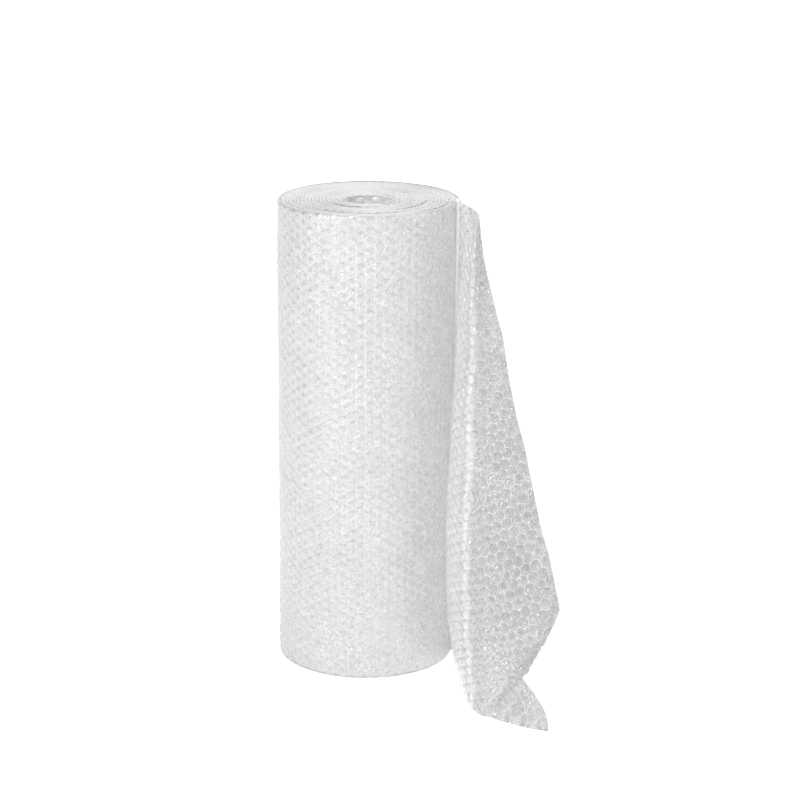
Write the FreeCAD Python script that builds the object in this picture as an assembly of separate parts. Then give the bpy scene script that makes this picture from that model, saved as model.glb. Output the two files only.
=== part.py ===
import FreeCAD, Part
import math
import os

# A roll of air bubble cushioning film. It stands on its end with the last turn hanging free.
# Lengths in mm, angles in degrees. +Z is up along the roll, the viewer is on the -Y side, +X is right.
# Seen from above, the film runs clockwise from the bore outwards and leaves the roll at +X.

# Driving sizes
FILM_WIDTH = 500.0
ROLL_DIA = 190.0
BORE_DIA = 53.0
TURNS = 17
AIR_GAP = 0.9
COLUMN_PITCH = 9.35
VALLEY = 1.5
FIRST_STEP = 30.0
GROOVE = 6.0

# The free tail: headings of the film, from -Y towards +X, one figure every TAIL_STEP of its length.
# Each row stands at a height that is a share of the film's width.
TAIL_STEP = 40.0
TAIL_SWEEP = (
    (0.00, (0, -1, 6, 6, 5, 36, 56, 72)),
    (0.08, (0, -3, -4, 5, 24, 53, 80, 84)),
    (0.15, (0, -6, -9, 7, 35, 67, 84, 84)),
    (0.22, (0, -8, -10, 11, 43, 75, 85, 86)),
    (0.36, (0, -12, -7, 22, 58, 84, 86, 86)),
    (0.56, (0, -9, -2, 45, 76, 84, 84, 84)),
    (0.78, (0, -4, 18, 47, 72, 74, 74, 74)),
    (1.00, (0, 21, 5, 6, 35, 50, 50, 50)),
)
TAIL_ROWS = 14
TAIL_COLUMNS = 30

# The free edge, seen square to a line that runs from the roll towards +X and -Y. Each pair is how far
# the edge stands out from the point where the film leaves the roll, and its share of the film's width.
EDGE_BEARING = 45.0
FREE_EDGE = (
    (75.5, 1.05),
    (82.0, 1.00),
    (111.5, 0.80),
    (139.5, 0.57),
    (162.5, 0.43),
    (194.0, 0.25),
    (200.5, 0.20),
    (187.5, 0.10),
    (200.0, 0.05),
    (226.5, 0.00),
    (240.0, -0.04),
)

# Sizes that follow from them
BORE_R = BORE_DIA / 2
TURN_PITCH = (ROLL_DIA - BORE_DIA + 2 * AIR_GAP) / (2 * TURNS + 1)
FILM_T = TURN_PITCH - AIR_GAP
LEAVE_R = BORE_R + TURNS * TURN_PITCH
MID_X = LEAVE_R + FILM_T / 2
UP = FreeCAD.Vector(0, 0, 1)


def at(radius, degrees):
    a = math.radians(degrees)
    return FreeCAD.Vector(radius * math.cos(a), radius * math.sin(a), 0)


def half_turn(centre_x, radius, below):
    circle = Part.Circle(FreeCAD.Vector(centre_x, 0, 0), UP, radius)
    first = math.pi if below else 0
    return Part.Arc(circle, first, first + math.pi).toShape()


def bore_outline():
    """A true circle as wound on a spindle, then a short ramp over the film's own start."""
    circle = Part.Circle(FreeCAD.Vector(0, 0, 0), UP, BORE_R)
    ring = Part.Arc(circle, math.radians(FIRST_STEP), 2 * math.pi).toShape()
    points = []
    steps = 4
    for i in range(steps + 1):
        f = i / steps
        rise = TURN_PITCH * f * f * (3 - 2 * f)
        points.append(at(BORE_R + rise, FIRST_STEP * (1 - f)))
    ramp = Part.BSplineCurve()
    lead = at(1, FIRST_STEP - 90)
    ramp.interpolate(Points=points, InitialTangent=lead, FinalTangent=at(1, -90))
    start = Part.makeLine(at(BORE_R, 0), at(BORE_R + TURN_PITCH, 0))
    return Part.Wire(Part.__sortEdges__([ring, ramp.toShape(), start]))


def roll_outline():
    """The last turn's outer side, with a step where the film leaves the roll."""
    under = BORE_R + (TURNS - 1) * TURN_PITCH + FILM_T
    edges = [
        half_turn(0, under, True),
        half_turn(TURN_PITCH / 2, under + TURN_PITCH / 2, False),
        Part.makeLine(at(under, 0), at(under + TURN_PITCH, 0)),
    ]
    return Part.Wire(Part.__sortEdges__(edges))


def turn_groove(centre_x, radius, below):
    """Half a turn of the V-shaped gap between two turns, cut into the top end of the roll."""
    x = centre_x + radius
    corners = [
        FreeCAD.Vector(x, 0, FILM_WIDTH),
        FreeCAD.Vector(x - AIR_GAP, 0, FILM_WIDTH),
        FreeCAD.Vector(x - AIR_GAP / 2, 0, FILM_WIDTH - GROOVE),
    ]
    section = Part.Face(Part.makePolygon(corners + corners[:1]))
    return section.revolve(FreeCAD.Vector(centre_x, 0, 0), UP, -180 if below else 180)


def wound_roll():
    roll = Part.Face(roll_outline()).extrude(UP * FILM_WIDTH)
    roll = roll.cut(Part.Face(bore_outline()).extrude(UP * FILM_WIDTH))
    grooves = []
    for k in range(1, TURNS):
        radius = BORE_R + k * TURN_PITCH
        grooves.append(turn_groove(0, radius, True))
        grooves.append(turn_groove(TURN_PITCH / 2, radius + TURN_PITCH / 2, False))
    return roll.cut(grooves)


def heading(length, share):
    """The film's heading at a length along the tail and a share of its width."""
    column = min(length / TAIL_STEP, len(TAIL_SWEEP[0][1]) - 1.001)
    c = int(column)
    row = 0
    while row < len(TAIL_SWEEP) - 2 and share > TAIL_SWEEP[row + 1][0]:
        row += 1
    low, high = TAIL_SWEEP[row], TAIL_SWEEP[row + 1]
    f = (share - low[0]) / (high[0] - low[0])
    f = f * f * (3 - 2 * f) * 0.5 + f * 0.5
    ends = []
    for angles in (low[1], high[1]):
        ends.append(angles[c] + (angles[c + 1] - angles[c]) * (column - c))
    return math.radians(ends[0] + (ends[1] - ends[0]) * f)


def tail_row(share, step, offset):
    """Points along the tail at one height, set off square to the film by offset(length)."""
    count = int(round(TAIL_COLUMNS * COLUMN_PITCH / step))
    fine = 6
    small = step / fine
    x, y = MID_X, 0.0
    points = []
    for i in range(count + 1):
        turn = heading(i * step, share)
        side = offset(i * step)
        spot = FreeCAD.Vector(x + side * math.cos(turn), y + side * math.sin(turn), share * FILM_WIDTH)
        points.append(spot)
        for j in range(fine):
            turn = heading(i * step + (j + 0.5) * small, share)
            x += math.sin(turn) * small
            y -= math.cos(turn) * small
    return points


def bubble_side(length):
    """Crests are the bubble columns, valleys the flat film between them."""
    wave = (1 - math.cos(2 * math.pi * length / COLUMN_PITCH)) / 2
    return -FILM_T / 2 + VALLEY * wave


def flat_side(length):
    return FILM_T / 2


def tail_grid(step, offset):
    return [tail_row(i / TAIL_ROWS, step, offset) for i in range(TAIL_ROWS + 1)]


def upright_line(grid, column):
    line = Part.BSplineCurve()
    line.interpolate([row[column] for row in grid])
    return line.toShape()


def strips(lines):
    return [Part.makeRuledSurface(a, b) for a, b in zip(lines, lines[1:])]


def rim(ridged_row, flat_row):
    """The flat rim of the tail at the floor or at the top."""
    around = ridged_row + flat_row[::-1] + ridged_row[:1]
    return Part.Face(Part.makePolygon(around))


def free_tail():
    ridged = tail_grid(COLUMN_PITCH / 2, bubble_side)
    flat = tail_grid(COLUMN_PITCH, flat_side)
    ridged_lines = [upright_line(ridged, c) for c in range(len(ridged[0]))]
    flat_lines = [upright_line(flat, c) for c in range(len(flat[0]))]
    faces = strips(ridged_lines) + strips(flat_lines)
    faces += strips([ridged_lines[0], flat_lines[0]])
    faces += strips([ridged_lines[-1], flat_lines[-1]])
    faces.append(rim(ridged[0], flat[0]))
    faces.append(rim(ridged[-1], flat[-1]))
    shell = Part.makeShell(faces)
    shell.sewShape()
    return Part.Solid(shell)


def past_free_edge():
    """Everything past the skewed cut, as one prism across the tail."""
    a = math.radians(EDGE_BEARING)
    out = FreeCAD.Vector(math.cos(a), -math.sin(a), 0)
    across = FreeCAD.Vector(math.sin(a), math.cos(a), 0)
    root = MID_X * math.cos(a)
    reach = 3 * ROLL_DIA
    points = []
    for stand_out, share in FREE_EDGE:
        points.append(out * (root + stand_out) + UP * (share * FILM_WIDTH) - across * reach)
    edge = Part.BSplineCurve()
    edge.interpolate(points)
    far_low = points[-1] + out * reach
    far_high = points[0] + out * reach
    sides = [
        edge.toShape(),
        Part.makeLine(points[-1], far_low),
        Part.makeLine(far_low, far_high),
        Part.makeLine(far_high, points[0]),
    ]
    return Part.Face(Part.Wire(sides)).extrude(across * (2 * reach))


def bubble_film():
    tail = free_tail().cut(past_free_edge())
    film = wound_roll().fuse(tail).removeSplitter()
    return film.Solids[0] if len(film.Solids) == 1 else film


os.makedirs("parts", exist_ok=True)
shape = bubble_film()
shape.exportStep("parts/bubble_film.step")
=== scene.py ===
from functools import partial
import math
import bpy
import bmesh
import numpy as np
from mathutils import Matrix, Vector


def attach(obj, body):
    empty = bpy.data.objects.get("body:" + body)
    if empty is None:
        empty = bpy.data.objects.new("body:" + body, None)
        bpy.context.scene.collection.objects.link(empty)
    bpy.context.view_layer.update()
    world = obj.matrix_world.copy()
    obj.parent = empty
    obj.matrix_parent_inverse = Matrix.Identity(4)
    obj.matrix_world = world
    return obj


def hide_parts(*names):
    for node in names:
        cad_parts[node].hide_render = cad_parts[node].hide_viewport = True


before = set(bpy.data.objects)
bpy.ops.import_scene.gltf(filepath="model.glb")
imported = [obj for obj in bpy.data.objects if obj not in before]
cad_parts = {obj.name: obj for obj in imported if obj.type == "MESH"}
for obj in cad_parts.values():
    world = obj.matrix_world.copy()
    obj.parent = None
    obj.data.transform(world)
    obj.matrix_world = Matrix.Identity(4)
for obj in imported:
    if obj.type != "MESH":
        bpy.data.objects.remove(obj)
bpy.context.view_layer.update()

# A roll of air bubble cushioning film that stands on its end, with its last part hanging free.
# All lengths in metres. The film runs clockwise outwards, seen from above, and leaves the roll at +X.
FILM_WIDTH = 0.500
ROLL_DIA = 0.190
BORE_DIA = 0.053
TURNS = 17
AIR_GAP = 0.0009
SKIN = 0.0004
FIRST_STEP = 30.0

# The bubbles stand in columns that run up the film. Every other column is half a pitch higher.
COLUMN_PITCH = 0.00935
BUBBLE_PITCH = 0.0108
BUBBLE_R = 0.0050

BORE_R = BORE_DIA / 2
TURN_PITCH = (ROLL_DIA - BORE_DIA + 2 * AIR_GAP) / (2 * TURNS + 1)
FILM_T = TURN_PITCH - AIR_GAP
LEAVE_R = BORE_R + TURNS * TURN_PITCH
MID_X = LEAVE_R + FILM_T / 2

# Headings of the free tail in degrees, from -Y towards +X, every TAIL_STEP of film, at shares of its width.
TAIL_STEP = 0.040
TAIL_SWEEP = (
    (0.00, (0, -1, 6, 6, 5, 36, 56, 72)),
    (0.08, (0, -3, -4, 5, 24, 53, 80, 84)),
    (0.15, (0, -6, -9, 7, 35, 67, 84, 84)),
    (0.22, (0, -8, -10, 11, 43, 75, 85, 86)),
    (0.36, (0, -12, -7, 22, 58, 84, 86, 86)),
    (0.56, (0, -9, -2, 45, 76, 84, 84, 84)),
    (0.78, (0, -4, 18, 47, 72, 74, 74, 74)),
    (1.00, (0, 21, 5, 6, 35, 50, 50, 50)),
)
# The grid of points that the tail's surface is worked out on.
TAIL_LENGTH = 0.300
TAIL_COLUMNS, TAIL_ROWS = 301, 201
TAIL_S = np.linspace(0, TAIL_LENGTH, TAIL_COLUMNS)
TAIL_V = np.linspace(0, FILM_WIDTH, TAIL_ROWS)

# The skewed cut at the free end: height as a share of the width, and the film's length there.
CUT_AT = (0.00, 0.06, 0.12, 0.17, 0.22, 0.25, 0.30, 0.40, 0.50,
          0.60, 0.70, 0.80, 0.85, 0.90, 0.94, 0.965, 0.985, 1.00)
CUT_LENGTH = (0.278, 0.272, 0.268, 0.265, 0.261, 0.2545, 0.243, 0.220, 0.1945,
              0.174, 0.1535, 0.136, 0.130, 0.123, 0.114, 0.107, 0.098, 0.088)

# The fold near the floor, by height: where its crest runs, its turn back in degrees, and how long it lasts.
FOLD_AT = (0.00, 0.02, 0.04, 0.06, 0.09, 0.11, 0.15, 0.19, 0.22, 0.26)
FOLD_CREST = (0.196, 0.205, 0.212, 0.220, 0.238, 0.240, 0.250, 0.256, 0.260, 0.266)
FOLD_TURN = (100.0, 100.0, 100.0, 100.0, 103.0, 105.0, 110.0, 100.0, 70.0, 0.0)
FOLD_LENGTH = (0.001, 0.018, 0.039, 0.042, 0.040, 0.050, 0.070, 0.080, 0.080, 0.080)
FOLD_SPREAD = 0.014

# Near the fold the film slides down its own width by SINK_DEPTH, in these shares at these heights.
SINK_DEPTH, SINK_FROM, SINK_SPREAD = 0.026, 0.185, 0.18
SINK_AT = (0.0, 0.03, 0.10, 0.13, 0.45)
SINK_SHARE = (0.0, 0.3, 1.0, 1.0, 0.0)

# Bubble shapes as rings of (radius, height): the loose ones, the last ones of each end, those pressed
# through the flat side of the outer turn, and those of the hole's wall.
TAIL_DOME = ((0.0050, 0.0), (0.0048, 0.0019), (0.0041, 0.0030), (0.0024, 0.0034))
END_DOME = ((0.0050, 0.0), (0.0045, 0.0021), (0.0026, 0.0033))
LENS_TILE = ((BUBBLE_R, -0.00012), (0.0036, 0.00042))
BORE_TILE = ((0.0048, 0.0002), (0.0034, 0.0011))
CROWN_RISE = 0.12

# Each field of bubbles: by what share their sizes differ, and the seed of its random draws.
OUTER_FIELD = dict(spread=0.0, seed=3)
END_FIELD = dict(spread=0.05, seed=5)
BORE_FIELD = dict(spread=0.0, seed=9)
TAIL_FIELD = dict(spread=0.06, seed=21)
LOT_SEED = 11
FIELD_MARGIN = 0.006
WELD = 0.0002

# The crushed film in the slot where the tail leaves the roll, as (x past LEAVE_R, y), and its scallops.
SLOT_SECTION = ((-0.0042, -0.0040), (-0.0028, -0.0095), (-0.0012, -0.0118), (0.0004, -0.0122),
                (0.0018, -0.0114), (0.0025, -0.0090), (0.00255, 0.0015))
SLOT_LID_Y = 0.003
SLOT_SCALLOP, SLOT_STEP = 0.0012, BUBBLE_PITCH / 8
SLOT_LOW, SLOT_HIGH = 0.001, 0.0008

# Details of the wound roll: how far the spiral dips under the separate outer turn, that turn's lip at
# each end, how far the crushed bubbles between the turns lie below the ends, and the hole's wall.
OUTER_DIP, OUTER_PROUD = 0.0012, 0.0003
LIP_DEPTH, LIP_WIDTH = 0.0016, 0.002
FILL_STEP, FILL_SINK, FILL_LOBE, FILL_ROUGH = 0.0023, 0.0005, 0.0006, 0.0002
FILL_DROPS = (0.0013, 0.0008, 0.0003, 0.0)
BORE_WALL, BORE_TRIM = 0.0013, 0.0006
BEFORE_LEAVING = -1e-6

# The spiral's points on its first turn and how many more each turn has. Its cut edge lies END_DEPTH below
# the roll's end, with waves of (depth, rate, start), and the lower end has LOWER_SHARE of that.
SPIRAL_POINTS, SPIRAL_MORE = 40, 2.6
END_DEPTH, LOWER_SHARE = 0.0006, 0.6
END_WAVES = ((0.0005, 4.1, 0.0), (0.0004, 11.7, 1.0), (0.0003, 4 * math.pi + 1, 0.0))

# The outer turn's field starts and stops a little before the turn does. Its film has slow ripples, as
# (height, rate up the film, rate along it).
FIELD_EARLY, FIELD_SHORT = 0.002, 0.004
RIPPLES = ((0.00025, 34, 21), (0.0002, 71, -47))

# Between which heights the end bubbles stand, from the lower and from the upper end, and their trims.
END_ROWS_LOW, END_ROWS_HIGH = (-0.004, 0.009), (-0.017, 0.004)
END_TRIM_LOW, END_TRIM_HIGH = 0.001, 0.0012

# A bubble's height as a share of a full one: the least or most, and how much its own lot changes it.
LENS_LEAST, LENS_LOT = 0.45, 1.1
BORE_LEAST, BORE_LOT = 0.8, 0.3
END_LOT = 0.15

# The loose bubbles' height as a share of a full one, and where and how far they are pressed flatter.
TAIL_HEIGHT, TAIL_LOT = 0.66, 0.14
PRESSED_TOP, PRESSED_END, PRESSED_SHARE = 0.150, 0.085, 0.62
PRESSED_FADE_UP, PRESSED_FADE_ALONG = 0.07, 0.04

# The loose film's own mesh, with the width of its cut edge, and how its bubbles keep off the edges.
SHEET_COLUMNS, SHEET_ROWS, CUT_EDGE = 60, 124, 0.0007
TAIL_FIRST, TAIL_LAST, TAIL_BORDER = 0.006, 0.285, 0.002
TAIL_ROOM, TAIL_CUT_BACK, TAIL_TRIM = 0.0008, 0.0002, 0.0005

# Painted light on the loose film: a painted highlight along a crease where length + CREASE_SLANT * height is
# CREASE_AT, painted light on the film between it and the roll, a painted highlight in a wedge at the top and
# a faint painted light at the foot.
CREASE_AT, CREASE_SLANT, CREASE_WIDTH = 0.1790, 0.2, 0.0085
WEDGE_LOW, WEDGE_SLOPE, WEDGE_HIGHLIGHT = 0.36, 0.4, 0.8
BESIDE_PAINTED_LIGHT = 0.62
FOOT_TOP, FOOT_PAINTED_LIGHT = 0.13, 0.12
WEDGE_EDGE, BESIDE_EDGE, FOOT_EDGE = 120.0, 60.0, 10.0
PAINTED_LIGHT_CELL, PAINTED_LIGHT_LAND = 0.9, 0.7

# Radii in mm of the rings that the materials draw: a bubble's outline, the clear part inside it, the
# painted highlight ring on its crown, and the outlines in the two layers of film below, some with the line's
# width.
OUTLINE_MM, CELL_MM, LAND_RISE = 4.75, 4.3, 1.4
CROWN_MM, CROWN_LINE = 2.5, 0.9
SECOND_MM, SECOND_LINE = 4.6, 0.6
THIRD_MM, THIRD_LINE = 4.5, 0.7
OUTLINE_TONE, CROWN_HIGHLIGHT_TONE, THIRD_TONE = 0.75, 0.4, 0.6

# Each layer below is moved along and up the film, turned in degrees, shrunk, and slips about.
SECOND_LAYER = dict(shift=(0.0004, 0.0003), angle=0.15, shrink=1.043, slip=0.004)
THIRD_LAYER = dict(shift=(0.0056, 0.0008), angle=-0.2, shrink=1.088, slip=0.008)

# Sizes of the noises, as repeats for each metre or so: drift of a layer, soft clouds, haze, flecks, and the
# cells of the painted glint and shade specks.
DRIFT, CLOUD, HAZE, FLECK, PAINTED_SPECK_SCALE = 9.0, 30.0, 330.0, 900.0, 290.0
# From which value a noise shows and how fast it grows; where the haze shows it paints glints. Some speck
# cells are painted glints and some are dark specks of painted shade.
GLINT_HAZE_FROM, GLINT_HAZE_GAIN, HAZE_ROUGH = 0.52, 3.0, 0.2
CLOUD_FROM, CLOUD_GAIN = 0.45, 1.4
GLINT_SPECK_TOP, GLINT_SPECK_FALL, GLINT_SPECK_FROM = 1.5, 3.6, 0.55
SHADE_SPECK_TONE, SHADE_SPECK_BELOW, SHADE_SPECK_MIX = 0.7, 0.35, 0.35
# The relief in metres, and the shares of the layers, the haze and the flecks in it and in the shiny skin's.
RELIEF, LAYER_RELIEF, HAZE_RELIEF = 0.001, 0.4, 300
SKIN_FLECK, SKIN_LAYERS = 0.35, 0.12
MILK_DEPTH = 0.035

# The looks of each film. body, rim_and_highlight and cell are the tones between, on and inside the bubbles'
# outlines; rim_and_highlight also colours the painted glints and the painted crown highlights.
# deep is how strongly the layers below show, line is the outline's width in mm, ridge its height.
# frost roughens the film itself, gloss, coat and shine are its shiny skin. painted_glints_and_shade sets the
# painted glint specks and dark specks of painted shade, painted_light_marks adds painted highlights and
# painted light.
FILM_LOOKS = {
    "rolled_film": dict(body=0.59, cell=0.50, deep=0.62, gloss=0.09, wrinkle=0.0008, ridge=0.45,
                        milk=0.15, painted_glints_and_shade=0.5, frost=0.2, line=0.6, shine=3.0),
    "cut_ends": dict(body=0.755, rim_and_highlight=0.84, cell=0.74, deep=0.1, gloss=0.25, wrinkle=0.0002, ridge=0.05),
    # The bore film is a near-white copy of the film: painted light for the shaded hole and slot
    "painted_light_bore_film": dict(body=0.95, rim_and_highlight=0.98, cell=0.92, deep=0.3, gloss=0.2, wrinkle=0.0003, ridge=0.1),
    "loose_film": dict(body=0.54, cell=0.45, deep=0.25, gloss=0.06, wrinkle=0.0007, ridge=0.5, clear=0.66,
                       milk=1.0, painted_glints_and_shade=0.9, frost=0.1, ior=1.3, line=0.45, coat=0.6, painted_light_marks=True),
    "loose_bubbles": dict(body=0.54, cell=0.40, deep=0.25, gloss=0.05, wrinkle=0.0007, ridge=0.5,
                          clear=0.70, painted_glints_and_shade=1.0, frost=0.08, ior=1.35, line=0.5, coat=0.9,
                          shine=2.1, painted_light_marks=True),
}
EDGE_TONE, EDGE_ROUGH, EDGE_PATCH = 0.62, 0.3, 140.0

# Lamps: name, place, height aimed at, width, height, power in watts, colour.
LAMPS = (
    ("key_left", (-1.7, -2.0, 2.4), 0.25, 0.25, 0.5, 26, (0.97, 0.985, 1.0)),
    ("strip_left", (-2.05, -1.6, 1.1), 0.25, 0.22, 1.8, 15, (0.96, 0.98, 1.0)),
    ("fill_right", (2.6, -1.1, 1.3), 0.25, 1.2, 1.6, 8, (1.0, 0.985, 0.955)),
    ("top_soft", (0.2, 0.1, 2.8), 0.2, 2.0, 2.0, 12, (1.0, 1.0, 1.0)),
)
# The sky is a little brighter towards SKY_SIDE.
SKY_SIDE, SKY_SLOPE, SKY_LEVEL = (0.90, -0.45, 0.30), 0.44, 0.55

# The floor sweeps up into a backdrop. Its own glow makes it white where it is seen, half of it in mirrors.
FLOOR_WIDE, FLOOR_FRONT, FLOOR_BACK, FLOOR_SWEEP, FLOOR_TOP = 6.0, -6.0, 3.0, 1.0, 5.0
FLOOR_TONE, FLOOR_GLOW, MIRROR_SHARE, FLOOR_STEPS = 0.9, 0.72, 0.5, 16

# The camera's place and its pitch, yaw and roll in degrees, fitted to the photo's outline.
CAMERA_PLACE = (0, -2.5652, 1.0131)
CAMERA_TURN = (15.925, 0.802, 0.386)
CAMERA_LENS, CAMERA_SENSOR = 112.5, 36.0

rng = np.random.default_rng(7)


# The path of the film
def wound_point(q, off):
    """A point of the wound film: q counts turns from the bore, off is measured from its inner face."""
    k = np.floor(q)
    second = (q - k) >= 0.5
    step = np.clip((q - (1 - FIRST_STEP / 360)) * 360 / FIRST_STEP, 0, 1)
    first_r = BORE_R + TURN_PITCH * step * step * (3 - 2 * step)
    centre = np.where(second & (k > 0), TURN_PITCH / 2, 0.0)
    radius = np.where(k > 0, BORE_R + (k + 0.5 * second) * TURN_PITCH, first_r)
    angle = -2 * math.pi * q
    return centre + (radius + off) * np.cos(angle), (radius + off) * np.sin(angle)


Q_FINE = np.linspace(0, TURNS - 1e-9, TURNS * 360 + 1)
S_FINE = np.concatenate([[0], np.cumsum(np.hypot(*np.diff(wound_point(Q_FINE, FILM_T))))])
S_FINE -= S_FINE[-1]


def turn_at(length):
    """Turn count for a length of film before the point where it leaves the roll (negative lengths)."""
    return np.interp(length, S_FINE, Q_FINE)


def length_at(q):
    """The other way round: the length of film for a turn count."""
    return np.interp(q, Q_FINE, S_FINE)


def on_roll(length, z, off):
    """Points of the wound film at these lengths and heights."""
    x, y = wound_point(turn_at(length), off)
    return np.stack([x, y, z], 1)


def ease(t):
    """A smooth step from 0 to 1, half way at 0 and one wide."""
    t = np.clip(t + 0.5, 0, 1)
    return t * t * (3 - 2 * t)


def heading(length, share):
    """The way the loose film runs, in radians from -Y towards +X, with the fold near the floor."""
    rows = np.array([r[1] for r in TAIL_SWEEP], float)
    shares = np.array([r[0] for r in TAIL_SWEEP])
    stations = TAIL_STEP * np.arange(rows.shape[1])
    i = np.clip(np.searchsorted(shares, share, side="right") - 1, 0, len(shares) - 2)
    f = (share - shares[i]) / (shares[i + 1] - shares[i])
    f = f * f * (3 - 2 * f) * 0.5 + f * 0.5
    row = rows[i] + (rows[i + 1] - rows[i]) * f
    turn = np.interp(length, stations, row)
    crest = np.interp(share, FOLD_AT, FOLD_CREST)
    back = np.interp(share, FOLD_AT, FOLD_TURN)
    hold = np.interp(share, FOLD_AT, FOLD_LENGTH)
    folded = ease((length - crest) / FOLD_SPREAD) - ease((length - crest - hold) / FOLD_SPREAD)
    return np.radians(turn + back * folded)


def tail_surface():
    """The middle of the loose film on its grid, each row laid out by its headings, and its normals."""
    ds = TAIL_S[1]
    grid = np.zeros((TAIL_ROWS, TAIL_COLUMNS, 3))
    for j, v in enumerate(TAIL_V):
        mid = heading(TAIL_S[:-1] + ds / 2, v / FILM_WIDTH)
        grid[j, 1:, 0] = np.cumsum(np.sin(mid)) * ds
        grid[j, 1:, 1] = -np.cumsum(np.cos(mid)) * ds
        grid[j, :, 0] += MID_X
        grid[j, :, 2] = v
    soft = np.ones(7) / 7
    for axis in (0, 1):
        for i in range(TAIL_COLUMNS):
            column = grid[:, i, axis]
            wide = np.concatenate([np.full(3, column[0]), column, np.full(3, column[-1])])
            grid[:, i, axis] = np.convolve(wide, soft, "valid")
    normal = np.cross(np.gradient(grid, axis=1), np.gradient(grid, axis=0))
    normal /= np.linalg.norm(normal, axis=2, keepdims=True)
    return grid, normal


TAIL_GRID, TAIL_NORMAL = tail_surface()


def sunk(s, v):
    """Height of a point of the film: near the free end the folded film takes up some of its own width."""
    return v - SINK_DEPTH * np.interp(v, SINK_AT, SINK_SHARE) * ease((s - SINK_FROM) / SINK_SPREAD)


def tail_point(s, v, depth):
    """A point of the tail at a length s and a place v across it, depth below its flat side."""
    v = sunk(s, v)
    fs = np.clip(s / TAIL_LENGTH, 0, 1) * (TAIL_COLUMNS - 1)
    fv = np.clip(v / FILM_WIDTH, 0, 1) * (TAIL_ROWS - 1)
    i, j = np.minimum(fs.astype(int), TAIL_COLUMNS - 2), np.minimum(fv.astype(int), TAIL_ROWS - 2)
    a, b = (fs - i)[:, None], (fv - j)[:, None]

    def blend(g):
        below = g[j, i] * (1 - a) + g[j, i + 1] * a
        above = g[j + 1, i] * (1 - a) + g[j + 1, i + 1] * a
        return below * (1 - b) + above * b

    n = blend(TAIL_NORMAL)
    n /= np.linalg.norm(n, axis=1, keepdims=True)
    point = blend(TAIL_GRID) + n * (depth - FILM_T / 2)[:, None]
    point[:, 2] = np.clip(point[:, 2], 0, FILM_WIDTH)
    return point


def cut_length(v):
    """Where the skewed cut lies at a place v across the film. Three rounds settle the sliding film."""
    length = np.interp(v / FILM_WIDTH, CUT_AT, CUT_LENGTH)
    for _ in range(3):
        length = np.interp(sunk(length, v) / FILM_WIDTH, CUT_AT, CUT_LENGTH)
    return length


# Materials
def new_material(name):
    """An empty material with its nodes and links."""
    mat = bpy.data.materials.new(name)
    mat.use_nodes = True
    tree = mat.node_tree
    tree.nodes.clear()
    return mat, tree.nodes, tree.links


def math_node(nodes, links, kind, a, b=None, c=None, clamp=False):
    """A math node whose inputs are numbers or the outputs of other nodes."""
    node = nodes.new("ShaderNodeMath")
    node.operation = kind
    node.use_clamp = clamp
    for i, value in enumerate((a, b, c)):
        if isinstance(value, (int, float)):
            node.inputs[i].default_value = value
        elif value is not None:
            links.new(value, node.inputs[i])
    return node.outputs[0]


def vector_node(nodes, links, kind, vector, *others):
    """A vector math node: the first input is linked, the others are plain vectors."""
    node = nodes.new("ShaderNodeVectorMath")
    node.operation = kind
    links.new(vector, node.inputs[0])
    for i, value in enumerate(others):
        node.inputs[i + 1].default_value = value
    return node.outputs["Value" if kind in ("LENGTH", "DOT_PRODUCT") else "Vector"]


def colour_mix(nodes, links, a, b, factor):
    """A mix of two tones, each a number or the output of another node."""
    node = nodes.new("ShaderNodeMix")
    node.data_type = "RGBA"
    links.new(factor, node.inputs[0])
    for i, value in ((6, a), (7, b)):
        if isinstance(value, (int, float)):
            node.inputs[i].default_value = (value, value, value, 1)
        else:
            links.new(value, node.inputs[i])
    return node.outputs[2]


def noise(nodes, links, vector, scale, detail, rough=0.6):
    """The outputs of a noise texture on those places."""
    node = nodes.new("ShaderNodeTexNoise")
    node.inputs["Scale"].default_value = scale
    node.inputs["Detail"].default_value = detail
    node.inputs["Roughness"].default_value = rough
    links.new(vector, node.inputs["Vector"])
    return node.outputs


def bump(nodes, links, height, distance):
    """A normal bent by a height, which stands for that distance in metres."""
    node = nodes.new("ShaderNodeBump")
    node.inputs["Strength"].default_value = 1.0
    node.inputs["Distance"].default_value = distance
    links.new(height, node.inputs["Height"])
    return node.outputs[0]


def bubble_grid_group():
    """Distance in mm from the nearest bubble's centre, from the film's own UV map in metres."""
    group = bpy.data.node_groups.new("bubble_grid", "ShaderNodeTree")
    group.interface.new_socket("Film", in_out="INPUT", socket_type="NodeSocketVector")
    group.interface.new_socket("Distance", in_out="OUTPUT", socket_type="NodeSocketFloat")
    nodes, links = group.nodes, group.links
    enter = nodes.new("NodeGroupInput")
    leave = nodes.new("NodeGroupOutput")
    high = (COLUMN_PITCH, BUBBLE_PITCH / 2, 0.5)
    low = (-COLUMN_PITCH, -BUBBLE_PITCH / 2, -0.5)
    lengths = []
    for shift in ((0.0, 0.0, 0.0), (COLUMN_PITCH, BUBBLE_PITCH / 2, 0.0)):
        moved = vector_node(nodes, links, "ADD", enter.outputs["Film"], shift)
        cell = vector_node(nodes, links, "WRAP", moved, high, low)
        cell = vector_node(nodes, links, "MULTIPLY", cell, (1000, 1000, 0))
        lengths.append(vector_node(nodes, links, "LENGTH", cell))
    links.new(math_node(nodes, links, "MINIMUM", *lengths), leave.inputs["Distance"])
    return group


def bubble_distance(nodes, links, grid, film):
    """The bubble grid read at a place on the film."""
    node = nodes.new("ShaderNodeGroup")
    node.node_tree = grid
    links.new(film, node.inputs[0])
    return node.outputs[0]


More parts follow.
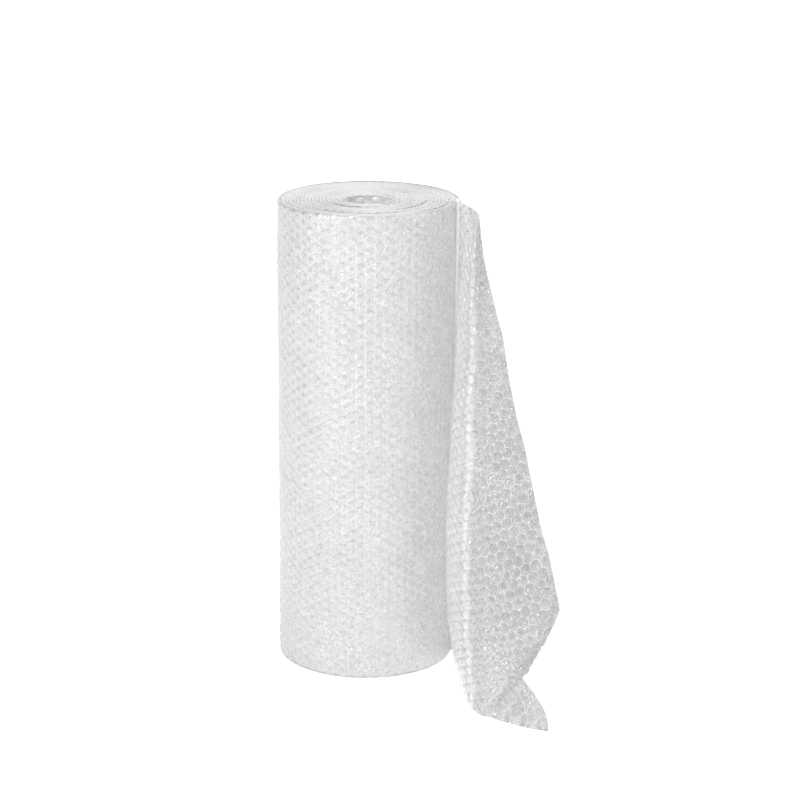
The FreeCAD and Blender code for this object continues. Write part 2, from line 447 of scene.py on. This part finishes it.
def layer_below(nodes, links, grid, film, shift, angle, shrink, slip):
    """The bubbles of a layer of film below, moved, turned and slipped a little against the layer above."""
    drift = noise(nodes, links, film, DRIFT, 1.0, 0.55)["Color"]
    slipped = vector_node(nodes, links, "MULTIPLY_ADD", drift, (slip, slip, 0), (-slip / 2, -slip / 2, 0))
    turn = nodes.new("ShaderNodeMapping")
    turn.inputs["Location"].default_value = (*shift, 0)
    turn.inputs["Rotation"].default_value = (0, 0, math.radians(angle))
    turn.inputs["Scale"].default_value = (shrink, 1.0, 1.0)
    links.new(film, turn.inputs["Vector"])
    moved = nodes.new("ShaderNodeVectorMath")
    moved.operation = "ADD"
    links.new(turn.outputs[0], moved.inputs[0])
    links.new(slipped, moved.inputs[1])
    return bubble_distance(nodes, links, grid, moved.outputs[0])


def ring_mask(nodes, links, distance, radius, width):
    """1 on a circle of that radius in mm, fading to 0 at that width each side."""
    calc = partial(math_node, nodes, links)
    away = calc("ABSOLUTE", calc("SUBTRACT", distance, radius))
    return calc("SUBTRACT", 1.0, calc("DIVIDE", away, width), clamp=True)


def painted_light_places(nodes, links, film, land):
    """Painted light on the loose film: painted highlights along a slanting crease and in a wedge at the top,
    and painted light on the film between the crease and the roll and, faintly, at the foot.
    """
    calc = partial(math_node, nodes, links)
    apart = nodes.new("ShaderNodeSeparateXYZ")
    links.new(film, apart.inputs[0])
    along, across = apart.outputs[0], apart.outputs[1]
    slant = calc("ADD", along, calc("MULTIPLY", across, CREASE_SLANT))
    away = calc("ABSOLUTE", calc("SUBTRACT", slant, CREASE_AT))
    crease = calc("SUBTRACT", 1.0, calc("DIVIDE", away, CREASE_WIDTH), clamp=True)
    reach = calc("MULTIPLY", calc("SUBTRACT", across, WEDGE_LOW), WEDGE_SLOPE)
    wedge = calc("MULTIPLY", calc("SUBTRACT", reach, along), WEDGE_EDGE, clamp=True)
    wedge = calc("MULTIPLY", wedge, WEDGE_HIGHLIGHT)
    beside = calc("MULTIPLY", calc("SUBTRACT", CREASE_AT, slant), BESIDE_EDGE, clamp=True)
    beside = calc("MULTIPLY", beside, BESIDE_PAINTED_LIGHT)
    foot = calc("MULTIPLY", calc("SUBTRACT", FOOT_TOP, across), FOOT_EDGE, clamp=True)
    foot = calc("MULTIPLY", foot, FOOT_PAINTED_LIGHT)
    painted_light_mask = calc("MAXIMUM", calc("MAXIMUM", crease, wedge), calc("MAXIMUM", beside, foot))
    cells = calc("SUBTRACT", PAINTED_LIGHT_CELL, calc("MULTIPLY", land, PAINTED_LIGHT_LAND))
    return calc("MULTIPLY", painted_light_mask, cells)


def film_material(name, grid, body, cell, deep, gloss, wrinkle, ridge, rim_and_highlight=1.0, clear=0.0, milk=0.0,
                  painted_glints_and_shade=0.0, frost=0.28, ior=1.5, line=0.55, coat=1.0, shine=1.7, painted_light_marks=False):
    """Milky polythene with the outlines of its bubbles, the layers below, haze, flecks and wrinkles, with
    painted glints, dark specks of painted shade and, on the loose film, painted highlights and painted light.
    """
    mat, nodes, links = new_material(name)
    calc, mix = partial(math_node, nodes, links), partial(colour_mix, nodes, links)
    ring, below = partial(ring_mask, nodes, links), partial(layer_below, nodes, links, grid)
    out = nodes.new("ShaderNodeOutputMaterial")
    shader = nodes.new("ShaderNodeBsdfPrincipled")
    links.new(shader.outputs[0], out.inputs[0])
    uv = nodes.new("ShaderNodeUVMap")
    uv.uv_map = "film"
    film = uv.outputs[0]
    place = nodes.new("ShaderNodeTexCoord").outputs["Object"]

    # The drawn rings
    distance = bubble_distance(nodes, links, grid, film)
    outline = ring(distance, OUTLINE_MM, line)
    second = ring(below(film, **SECOND_LAYER), SECOND_MM, SECOND_LINE)
    third = ring(below(film, **THIRD_LAYER), THIRD_MM, THIRD_LINE)
    layers = calc("MAXIMUM", second, calc("MULTIPLY", third, THIRD_TONE))
    land = calc("MULTIPLY", calc("SUBTRACT", distance, CELL_MM), LAND_RISE, clamp=True)
    cloud = noise(nodes, links, place, CLOUD, 4.0)[0]
    haze = noise(nodes, links, place, HAZE, 3.0)[0]
    fleck = noise(nodes, links, place, FLECK, 2.0)[0]

    # The tone, from the film itself to the painted glints of the haze and the painted glint and shade specks
    # on it
    base = mix(cell, body, land)
    # The rim tone colours the outlines and also the painted glints and the painted crown highlights
    base = mix(base, rim_and_highlight, calc("MULTIPLY", outline, OUTLINE_TONE))
    base = mix(base, rim_and_highlight, calc("MULTIPLY", layers, deep))
    # Painted highlight: a light ring on each bubble's crown
    if painted_light_marks:
        base = mix(base, rim_and_highlight, calc("MULTIPLY", ring(distance, CROWN_MM, CROWN_LINE), CROWN_HIGHLIGHT_TONE))
    # Painted glints: the film turns light where the haze noise is high
    painted_glint_haze = calc("SUBTRACT", haze, GLINT_HAZE_FROM, clamp=True)
    base = mix(base, rim_and_highlight, calc("MULTIPLY", painted_glint_haze, GLINT_HAZE_GAIN, clamp=True))
    # Painted glints: small bright specks, and dark specks of painted shade
    speck_cells = nodes.new("ShaderNodeTexVoronoi")
    speck_cells.inputs["Scale"].default_value = PAINTED_SPECK_SCALE
    links.new(place, speck_cells.inputs["Vector"])
    tone = nodes.new("ShaderNodeSeparateColor")
    links.new(speck_cells.outputs["Color"], tone.inputs[0])
    fall = calc("MULTIPLY", speck_cells.outputs["Distance"], GLINT_SPECK_FALL)
    glint_speck = calc("SUBTRACT", GLINT_SPECK_TOP, fall, clamp=True)
    glint_speck = calc("MULTIPLY", glint_speck, calc("GREATER_THAN", tone.outputs[0], GLINT_SPECK_FROM))
    base = mix(base, 1.0, calc("MULTIPLY", glint_speck, painted_glints_and_shade, clamp=True))
    shade_speck = calc("LESS_THAN", tone.outputs[1], SHADE_SPECK_BELOW)
    base = mix(base, cell * SHADE_SPECK_TONE, calc("MULTIPLY", shade_speck, SHADE_SPECK_MIX * painted_glints_and_shade))
    cloudy = calc("SUBTRACT", cloud, CLOUD_FROM, clamp=True)
    base = mix(base, cell, calc("MULTIPLY", cloudy, CLOUD_GAIN, clamp=True))
    # Painted highlights along the crease and in the wedge, painted light beside the roll and at the foot
    if painted_light_marks:
        base = mix(base, 1.0, painted_light_places(nodes, links, film, land))
    links.new(base, shader.inputs["Base Color"])
    links.new(calc("MULTIPLY_ADD", haze, HAZE_ROUGH, frost), shader.inputs["Roughness"])

    for socket, value in (("IOR", ior), ("Coat Weight", coat), ("Coat Roughness", gloss), ("Coat IOR", shine),
                          ("Transmission Weight", clear), ("Subsurface Weight", milk),
                          ("Subsurface Radius", (1.0, 1.0, 1.0)), ("Subsurface Scale", MILK_DEPTH)):
        shader.inputs[socket].default_value = value

    # The wrinkles of the film and, finer, of its shiny skin
    height = calc("ADD", cloud, calc("MULTIPLY", outline, ridge))
    height = calc("ADD", height, calc("MULTIPLY", layers, ridge * LAYER_RELIEF))
    height = calc("ADD", height, calc("MULTIPLY", haze, wrinkle * HAZE_RELIEF))
    links.new(bump(nodes, links, height, RELIEF), shader.inputs["Normal"])
    fine = calc("ADD", haze, calc("MULTIPLY", fleck, SKIN_FLECK))
    fine = calc("ADD", fine, calc("MULTIPLY", layers, SKIN_LAYERS))
    fine = calc("ADD", fine, calc("MULTIPLY", outline, ridge))
    links.new(bump(nodes, links, fine, wrinkle), shader.inputs["Coat Normal"])
    return mat


def edge_material():
    """The cut edge of the loose film, a narrow line whose tone changes a little along the cut."""
    mat, nodes, links = new_material("cut_edge")
    out = nodes.new("ShaderNodeOutputMaterial")
    shader = nodes.new("ShaderNodeBsdfPrincipled")
    patch = nodes.new("ShaderNodeTexNoise")
    patch.inputs["Scale"].default_value = EDGE_PATCH
    links.new(nodes.new("ShaderNodeTexCoord").outputs["Object"], patch.inputs["Vector"])
    tone = colour_mix(nodes, links, EDGE_TONE * 0.8, EDGE_TONE * 1.2, patch.outputs[0])
    links.new(tone, shader.inputs["Base Color"])
    shader.inputs["Roughness"].default_value = EDGE_ROUGH
    links.new(shader.outputs[0], out.inputs[0])
    return mat


# Bubble shapes and fields
def bubble_shape(name, rings, sides, hexagon):
    """One bubble as rings of (radius, height). A hexagon of flat film joins it to its neighbours."""
    bm = bmesh.new()
    angles = [2 * math.pi * i / sides for i in range(sides)]
    loops = []
    for radius, height in rings:
        loops.append([bm.verts.new((radius * math.cos(a), radius * math.sin(a), height)) for a in angles])
    if hexagon:
        reach = (BUBBLE_PITCH / math.sqrt(3), BUBBLE_PITCH / 2)
        corners = [(reach[i % 2] * math.cos(a), reach[i % 2] * math.sin(a), 0) for i, a in enumerate(angles)]
        loops.insert(0, [bm.verts.new(corner) for corner in corners])
    for outer, inner in zip(loops, loops[1:]):
        for i in range(sides):
            j = (i + 1) % sides
            bm.faces.new((outer[i], outer[j], inner[j], inner[i]))
    top = bm.verts.new((0, 0, rings[-1][1] + (rings[-1][1] - rings[-2][1]) * CROWN_RISE))
    for i in range(sides):
        bm.faces.new((loops[-1][i], loops[-1][(i + 1) % sides], top))
    mesh = bpy.data.meshes.new(name)
    bm.to_mesh(mesh)
    bm.free()
    return bpy.data.objects.new(name, mesh)


def field_tree(name, material):
    """Geometry Nodes: one bubble on every point, each a little different, as one mesh."""
    tree = bpy.data.node_groups.new(name, "GeometryNodeTree")
    face = tree.interface
    face.new_socket("Geometry", in_out="INPUT", socket_type="NodeSocketGeometry")
    face.new_socket("Bubble", in_out="INPUT", socket_type="NodeSocketObject")
    face.new_socket("Size Spread", in_out="INPUT", socket_type="NodeSocketFloat")
    face.new_socket("Seed", in_out="INPUT", socket_type="NodeSocketInt")
    face.new_socket("Geometry", in_out="OUTPUT", socket_type="NodeSocketGeometry")
    nodes, links = tree.nodes, tree.links
    enter, leave = nodes.new("NodeGroupInput"), nodes.new("NodeGroupOutput")
    shape = nodes.new("GeometryNodeObjectInfo")
    links.new(enter.outputs["Bubble"], shape.inputs["Object"])
    spread = nodes.new("FunctionNodeRandomValue")
    spread.data_type = "FLOAT"
    links.new(math_node(nodes, links, "SUBTRACT", 1.0, enter.outputs["Size Spread"]), spread.inputs[2])
    spread.inputs[3].default_value = 1.0
    links.new(enter.outputs["Seed"], spread.inputs["Seed"])
    place = nodes.new("GeometryNodeInstanceOnPoints")
    links.new(enter.outputs["Geometry"], place.inputs["Points"])
    links.new(shape.outputs["Geometry"], place.inputs["Instance"])
    links.new(spread.outputs[1], place.inputs["Scale"])

    # Each bubble's own lot, a number from 0 to 1 that the bending reads
    lot = nodes.new("FunctionNodeRandomValue")
    lot.data_type = "FLOAT"
    lot.inputs[2].default_value = 0.0
    lot.inputs[3].default_value = 1.0
    links.new(math_node(nodes, links, "ADD", enter.outputs["Seed"], LOT_SEED), lot.inputs["Seed"])
    keep = nodes.new("GeometryNodeStoreNamedAttribute")
    keep.data_type = "FLOAT"
    keep.domain = "INSTANCE"
    keep.inputs["Name"].default_value = "lot"
    links.new(place.outputs[0], keep.inputs["Geometry"])
    links.new(lot.outputs[1], keep.inputs["Value"])
    real = nodes.new("GeometryNodeRealizeInstances")
    links.new(keep.outputs[0], real.inputs[0])
    paint = nodes.new("GeometryNodeSetMaterial")
    paint.inputs["Material"].default_value = material
    links.new(real.outputs[0], paint.inputs["Geometry"])
    links.new(paint.outputs[0], leave.inputs[0])
    return tree


def hex_points(s_low, s_high, v_low, v_high):
    """Bubble centres in columns that run up the film, every other column half a pitch higher."""
    points = []
    first = math.ceil(s_low / COLUMN_PITCH)
    last = math.floor(s_high / COLUMN_PITCH)
    for c in range(first, last + 1):
        shift = BUBBLE_PITCH / 2 if c % 2 else 0.0
        row = math.ceil((v_low - shift) / BUBBLE_PITCH)
        while row * BUBBLE_PITCH + shift <= v_high:
            points.append((c * COLUMN_PITCH, row * BUBBLE_PITCH + shift, 0.0))
            row += 1
    return np.array(points)


def bubble_field(name, points, shape, tree, spread, seed):
    """The flat field of bubbles: x is the film's length, y its width, z the bubble's height."""
    mesh = bpy.data.meshes.new(name + "_points")
    mesh.from_pydata([tuple(p) for p in points], [], [])
    obj = bpy.data.objects.new(name + "_points", mesh)
    bpy.context.scene.collection.objects.link(obj)
    mod = obj.modifiers.new("field", "NODES")
    mod.node_group = tree
    ids = {s.name: s.identifier for s in tree.interface.items_tree if s.in_out == "INPUT"}
    mod[ids["Bubble"]] = shape
    mod[ids["Size Spread"]] = spread
    mod[ids["Seed"]] = seed
    bpy.context.view_layer.update()
    deps = bpy.context.evaluated_depsgraph_get()
    flat = bpy.data.meshes.new_from_object(obj.evaluated_get(deps), depsgraph=deps)
    bpy.data.objects.remove(obj)
    flat.name = name
    return flat


def keep_place(mesh, place):
    """Each point's place on the flat film, in metres, as the UV map that the materials read."""
    layer = mesh.uv_layers.new(name="film")
    index = np.zeros(len(mesh.loops), int)
    mesh.loops.foreach_get("vertex_index", index)
    layer.data.foreach_set("uv", np.asarray(place)[index].ravel())
    mesh.polygons.foreach_set("use_smooth", np.ones(len(mesh.polygons), bool))


def link_object(name, data):
    """A new object of the scene with that mesh, lamp or camera."""
    obj = bpy.data.objects.new(name, data)
    bpy.context.scene.collection.objects.link(obj)
    return obj


def trim_and_bend(name, flat, bend, low, high, weld=0.0, flip=False):
    """Cut the flat field at the film's two edges, keep its place as the UV map, then lay it on the film."""
    bm = bmesh.new()
    bm.from_mesh(flat)
    for plane, normal in ((low, (0, -1, 0)), (high, (0, 1, 0))):
        cut = dict(plane_co=(0, plane, 0), plane_no=normal, clear_outer=True)
        bmesh.ops.bisect_plane(bm, geom=bm.verts[:] + bm.edges[:] + bm.faces[:], **cut)
    if weld:
        bmesh.ops.remove_doubles(bm, verts=bm.verts[:], dist=weld)
    bm.to_mesh(flat)
    bm.free()
    co = np.zeros(len(flat.vertices) * 3)
    flat.vertices.foreach_get("co", co)
    co = co.reshape(-1, 3)
    lot = np.zeros(len(co))
    flat.attributes["lot"].data.foreach_get("value", lot)
    keep_place(flat, co[:, :2])
    flat.vertices.foreach_set("co", bend(co, lot).ravel())
    if flip:
        flat.flip_normals()
    flat.update()
    return link_object(name, flat)


def film_mesh(name, verts, faces, place, *materials):
    """A piece from its points and faces, with each point's place on the flat film."""
    mesh = bpy.data.meshes.new(name)
    mesh.from_pydata([tuple(v) for v in verts], [], faces)
    keep_place(mesh, place)
    mesh.update()
    for material in materials:
        mesh.materials.append(material)
    return link_object(name, mesh)


def strip_mesh(name, outer, inner, place, *materials):
    """A thin closed sheet from two grids of points, its outer and its inner side."""
    outer, inner, place = np.array(outer), np.array(inner), np.array(place).reshape(-1, 2)
    ny, nx = outer.shape[:2]
    count = nx * ny
    verts = np.concatenate([outer.reshape(-1, 3), inner.reshape(-1, 3)])
    faces = []
    for j in range(ny - 1):
        for i in range(nx - 1):
            a = j * nx + i
            faces.append((a, a + 1, a + 1 + nx, a + nx))
            faces.append((count + a, count + a + nx, count + a + 1 + nx, count + a + 1))
    border = [(0, i) for i in range(nx)] + [(j, nx - 1) for j in range(1, ny)]
    border += [(ny - 1, i) for i in range(nx - 2, -1, -1)] + [(j, 0) for j in range(ny - 2, 0, -1)]
    for (j0, i0), (j1, i1) in zip(border, border[1:] + border[:1]):
        a, b = j0 * nx + i0, j1 * nx + i1
        faces.append((b, a, count + a, count + b))
    obj = film_mesh(name, verts, faces, np.concatenate([place, place]), *materials)
    bm = bmesh.new()
    bm.from_mesh(obj.data)
    bmesh.ops.recalc_face_normals(bm, faces=bm.faces[:])
    bm.to_mesh(obj.data)
    bm.free()
    return obj


# The pieces
def end_wave(q):
    """How far each turn's cut edge lies below the roll's own end, in metres."""
    return END_DEPTH + sum(deep * np.sin(q * rate + start) for deep, rate, start in END_WAVES)


def wound_film(material):
    """The whole spiral of film with its uneven cut edges. It dips under the separate outer turn."""
    q = []
    for k in range(TURNS):
        n = int(SPIRAL_POINTS + SPIRAL_MORE * k)
        q.append(k + np.arange(n) / n)
    q = np.concatenate(q + [[TURNS - 1e-6]])
    length = length_at(q)
    under = OUTER_DIP * ease((q - (TURNS - 1)) * 9)
    outer, inner, place = [], [], []
    for share in (0.0, 0.02, 0.98, 1.0):
        z = np.full(len(q), share * FILM_WIDTH)
        z += np.where(share == 0.0, end_wave(q + 3) * LOWER_SHARE, 0)
        z -= np.where(share == 1.0, end_wave(q), 0)
        for store, off in ((outer, FILM_T), (inner, FILM_T - SKIN)):
            x, y = wound_point(q, off - under)
            store.append(np.stack([x, y, z], 1))
        place.append(np.stack([length, z], 1))
    return strip_mesh("wound_film", outer, inner, place, material)


def turn_fill(material):
    """The crushed bubbles between the turns, a little below each cut end."""
    length = np.arange(length_at(0.02), -0.0002, FILL_STEP)
    q = turn_at(length)
    lobe = np.abs(np.sin(math.pi * length / COLUMN_PITCH))

    # Beside the film's start the second turn lies further from the first one
    gap = np.hypot(*wound_point(q, 0.0)) - np.hypot(*wound_point(np.maximum(q - 1, 0), FILM_T))
    gap = np.maximum(np.where((q >= 1) & (q < 2), gap, 0.0), AIR_GAP)
    last = np.where(q > TURNS - 1, SKIN + OUTER_PROUD, 0.0)
    rows = list(zip((-gap, 0.0, 0.4 * FILM_T, FILM_T - SKIN + last), FILL_DROPS))
    n = len(q)
    verts, faces, place = [], [], []
    for upper in (False, True):
        sink = FILL_SINK + FILL_LOBE * lobe + FILL_ROUGH * rng.random(n)
        start = len(verts)
        for off, drop in rows:
            x, y = wound_point(q, off)
            z = FILM_WIDTH - sink - drop if upper else sink + drop
            verts.extend(zip(x, y, z))
            place.extend(zip(length, z))
        for row in range(len(rows) - 1):
            for i in range(n - 1):
                a = start + row * n + i
                quad = (a, a + 1, a + 1 + n, a + n)
                faces.append(quad if upper else quad[::-1])
    return film_mesh("turn_fill", verts, faces, place, material)


def outer_turn(material, tree_of):
    """The last full turn, with each bubble's outline pressed through its flat side and a lip at each end."""
    tile = bubble_shape("lens_tile", LENS_TILE, 12, True)
    start = length_at(TURNS - 1.0)
    points = hex_points(start - FIELD_EARLY, -FIELD_SHORT, -FIELD_MARGIN, FILM_WIDTH + FIELD_MARGIN)
    flat = bubble_field("outer_turn", points, tile, tree_of(material), **OUTER_FIELD)

    def bend(co, lot):
        s, v, high = np.clip(co[:, 0], start, BEFORE_LEAVING), co[:, 1], co[:, 2]
        ripple = sum(deep * np.sin(v * up + co[:, 0] * along) for deep, up, along in RIPPLES)
        lift = np.where(high > 0, high * (LENS_LEAST + LENS_LOT * lot), high) + ripple + OUTER_PROUD
        lift -= LIP_DEPTH * ease((np.abs(v - FILM_WIDTH / 2) - FILM_WIDTH / 2) / LIP_WIDTH + 0.5)
        return on_roll(s, v, FILM_T + lift)

    return trim_and_bend("outer_turn", flat, bend, 0.0, FILM_WIDTH, WELD, flip=True)


def end_bubbles(material, tree_of):
    """The last rows of bubbles at each end of the roll, as domes that face the axis."""
    dome = bubble_shape("end_dome", END_DOME, 10, False)
    start, stop = length_at(1.0), -FIELD_SHORT
    low = hex_points(start, stop, *END_ROWS_LOW)
    high = hex_points(start, stop, *(FILM_WIDTH + row for row in END_ROWS_HIGH))
    flat = bubble_field("end_bubbles", np.concatenate([low, high]), dome, tree_of(material), **END_FIELD)

    def bend(co, lot):
        s = np.minimum(co[:, 0], BEFORE_LEAVING)
        return on_roll(s, co[:, 1], FILM_T - SKIN - co[:, 2] * (1.0 - END_LOT * lot))

    return trim_and_bend("end_bubbles", flat, bend, END_TRIM_LOW, FILM_WIDTH - END_TRIM_HIGH)


def bore_bubbles(material, tree_of):
    """The wall of the hole: the first turn's bubbles, side by side, with their crowns towards the axis."""
    tile = bubble_shape("bore_tile", BORE_TILE, 12, True)
    first, last = length_at(0.0), length_at(1.0)
    points = hex_points(first - FIELD_MARGIN, last + FIELD_MARGIN, -FIELD_MARGIN, FILM_WIDTH + FIELD_MARGIN)
    flat = bubble_field("bore_bubbles", points, tile, tree_of(material), **BORE_FIELD)

    def bend(co, lot):
        s = np.clip(co[:, 0], first, last)
        return on_roll(s, co[:, 1], BORE_WALL - co[:, 2] * (BORE_LEAST + BORE_LOT * lot))

    return trim_and_bend("bore_bubbles", flat, bend, BORE_TRIM, FILM_WIDTH - BORE_TRIM, WELD)


def slot_fill(material):
    """The crushed bubbles in the narrow slot where the film leaves the roll, scalloped down its height."""
    z = np.arange(SLOT_LOW, FILM_WIDTH - SLOT_HIGH, SLOT_STEP)
    n = len(z)
    scallop = np.abs(np.sin(math.pi * z / BUBBLE_PITCH)) * SLOT_SCALLOP
    verts, place, faces = [], [], []
    for x, y in SLOT_SECTION:
        inside = x < SLOT_SECTION[-2][0]
        verts.extend(zip(np.full(n, LEAVE_R + x), y - scallop * inside, z))
        place.extend(zip(np.full(n, x), z))
    for column in range(len(SLOT_SECTION) - 1):
        for row in range(n - 1):
            a = column * n + row
            faces.append((a, a + n, a + n + 1, a + 1))
    lid = len(verts)
    for x, _ in SLOT_SECTION:
        verts.append((LEAVE_R + x, SLOT_LID_Y, z[-1]))
        place.append((x, z[-1]))
    for column in range(len(SLOT_SECTION) - 1):
        a = column * n + n - 1
        faces.append((a, a + n, lid + column + 1, lid + column))
    return film_mesh("slot_fill", verts, faces, place, material)


def tail_film(material, edge):
    """The flat side of the loose film, with its cut edges as a narrow line."""
    columns = SHEET_COLUMNS
    rows = np.linspace(CUT_EDGE, FILM_WIDTH - CUT_EDGE, SHEET_ROWS)
    rows = np.concatenate([[0.0], rows, [FILM_WIDTH]])
    outer, inner, place = [], [], []
    for v in rows:
        end = float(cut_length(v))
        s = np.append(np.linspace(0, end - CUT_EDGE, columns - 1), end)
        across = np.full(columns, v)
        outer.append(tail_point(s, across, np.zeros(columns)))
        inner.append(tail_point(s, across, np.full(columns, SKIN)))
        place.append(np.stack([s, across], 1))
    obj = strip_mesh("tail_film", outer, inner, place, material, edge)
    cells = (columns - 1) * (len(rows) - 1)
    for face in obj.data.polygons:
        row, column = divmod(face.index // 2, columns - 1)
        if face.index >= 2 * cells or column == columns - 2 or row in (0, len(rows) - 2):
            face.material_index = 1
    return obj


def tail_bubbles(material, tree_of):
    """The loose film's bubbles, one dome each, pressed flatter beside the roll's foot."""
    dome = bubble_shape("tail_dome", TAIL_DOME, 12, False)
    points = hex_points(TAIL_FIRST, TAIL_LAST, TAIL_BORDER, FILM_WIDTH - TAIL_BORDER)
    room = cut_length(points[:, 1]) - points[:, 0]
    points = points[room > TAIL_ROOM]
    flat = bubble_field("tail_bubbles", points, dome, tree_of(material), **TAIL_FIELD)

    def bend(co, lot):
        s, v = co[:, 0], co[:, 1]
        pressed = ease((PRESSED_TOP - v) / PRESSED_FADE_UP) * ease((PRESSED_END - s) / PRESSED_FADE_ALONG)
        tall = (TAIL_HEIGHT - TAIL_LOT * lot) * (1.0 - PRESSED_SHARE * pressed)
        s = np.minimum(s, cut_length(v) - TAIL_CUT_BACK)
        return tail_point(s, v, SKIN + co[:, 2] * tall)

    return trim_and_bend("tail_bubbles", flat, bend, TAIL_TRIM, FILM_WIDTH - TAIL_TRIM)


# Stage, light and camera
def stage():
    """A floor that sweeps up into a backdrop, white where the camera sees it."""
    profile = [(FLOOR_FRONT, 0.0)]
    for i in range(FLOOR_STEPS + 1):
        a = math.radians(90 * i / FLOOR_STEPS)
        profile.append((FLOOR_BACK + FLOOR_SWEEP * math.sin(a), FLOOR_SWEEP * (1.0 - math.cos(a))))
    profile.append((FLOOR_BACK + FLOOR_SWEEP, FLOOR_TOP))
    mesh = bpy.data.meshes.new("studio_floor")
    bm = bmesh.new()
    rows = [[bm.verts.new((x, y, z)) for x in (-FLOOR_WIDE, FLOOR_WIDE)] for y, z in profile]
    for a, b in zip(rows, rows[1:]):
        bm.faces.new((a[0], a[1], b[1], b[0]))
    bm.to_mesh(mesh)
    bm.free()
    mesh.polygons.foreach_set("use_smooth", [True] * len(mesh.polygons))
    mat, nodes, links = new_material("studio_white")
    calc = partial(math_node, nodes, links)
    out = nodes.new("ShaderNodeOutputMaterial")
    diffuse = nodes.new("ShaderNodeBsdfDiffuse")
    diffuse.inputs[0].default_value = (FLOOR_TONE, FLOOR_TONE, FLOOR_TONE, 1)
    glow = nodes.new("ShaderNodeEmission")
    glow.inputs[0].default_value = (1, 1, 1, 1)
    ray = nodes.new("ShaderNodeLightPath").outputs
    seen = calc("MAXIMUM", ray["Is Camera Ray"], ray["Is Transmission Ray"])
    seen = calc("MAXIMUM", seen, calc("MULTIPLY", ray["Is Glossy Ray"], MIRROR_SHARE))
    links.new(calc("MULTIPLY", seen, FLOOR_GLOW), glow.inputs[1])
    add = nodes.new("ShaderNodeAddShader")
    links.new(diffuse.outputs[0], add.inputs[0])
    links.new(glow.outputs[0], add.inputs[1])
    links.new(add.outputs[0], out.inputs[0])
    mesh.materials.append(mat)
    floor = link_object("studio_floor", mesh)


def lights():
    """Four soft lamps, and a pale sky that is a little brighter to one side."""
    for name, place, aim, wide, high, power, colour in LAMPS:
        data = bpy.data.lights.new(name, "AREA")
        data.shape = "RECTANGLE"
        data.size, data.size_y, data.energy, data.color = wide, high, power, colour
        obj = link_object(name, data)
        obj.location = place
        obj.rotation_euler = (Vector((0, 0, aim)) - Vector(place)).to_track_quat("-Z", "Y").to_euler()
    world = bpy.data.worlds.new("studio")
    world.use_nodes = True
    nodes, links = world.node_tree.nodes, world.node_tree.links
    back = nodes["Background"]
    back.inputs[0].default_value = (1, 1, 1, 1)
    sky = nodes.new("ShaderNodeTexCoord").outputs["Generated"]
    side = vector_node(nodes, links, "DOT_PRODUCT", sky, SKY_SIDE)
    links.new(math_node(nodes, links, "MULTIPLY_ADD", side, SKY_SLOPE, SKY_LEVEL), back.inputs[1])
    bpy.context.scene.world = world


def camera():
    """The camera of the photo."""
    pitch, yaw, roll = (math.radians(turn) for turn in CAMERA_TURN)
    forward = Vector((math.sin(yaw) * math.cos(pitch), math.cos(yaw) * math.cos(pitch), -math.sin(pitch)))
    level = Vector((math.cos(yaw), -math.sin(yaw), 0))
    rise = level.cross(forward)
    right = level * math.cos(roll) + rise * math.sin(roll)
    up = rise * math.cos(roll) - level * math.sin(roll)
    data = bpy.data.cameras.new("camera")
    data.sensor_width = CAMERA_SENSOR
    data.lens = CAMERA_LENS
    data.clip_end = 50
    obj = link_object("camera", data)
    turned = Matrix((right, up, -forward)).transposed().to_4x4()
    obj.matrix_world = Matrix.Translation(CAMERA_PLACE) @ turned
    bpy.context.scene.camera = obj


def main():
    """Camera, light and floor, then the pieces of the roll and what each one stands for."""
    camera()
    lights()
    stage()
    bpy.context.scene.view_settings.view_transform = "Standard"
    grid = bubble_grid_group()
    film = {name: film_material(name, grid, **look) for name, look in FILM_LOOKS.items()}
    trees = {}

    def tree_of(material):
        if material.name not in trees:
            trees[material.name] = field_tree("field_" + material.name, material)
        return trees[material.name]

    pieces = [
        outer_turn(film["rolled_film"], tree_of),
        wound_film(film["cut_ends"]),
        turn_fill(film["cut_ends"]),
        end_bubbles(film["cut_ends"], tree_of),
        # The hole's wall and the slot take the near-white copy of the film, painted light where they lie in
        # shade
        bore_bubbles(film["painted_light_bore_film"], tree_of),
        slot_fill(film["painted_light_bore_film"]),
        tail_bubbles(film["loose_bubbles"], tree_of),
        tail_film(film["loose_film"], edge_material()),
    ]
    domes, tail = pieces[-2:]

    # Clear film lets light through to the roll behind it
    for clear in (tail, domes):
        clear.visible_shadow = False
        clear.visible_diffuse = False
    for piece in pieces:
        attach(piece, "root")
        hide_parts("bubble_film")


main()
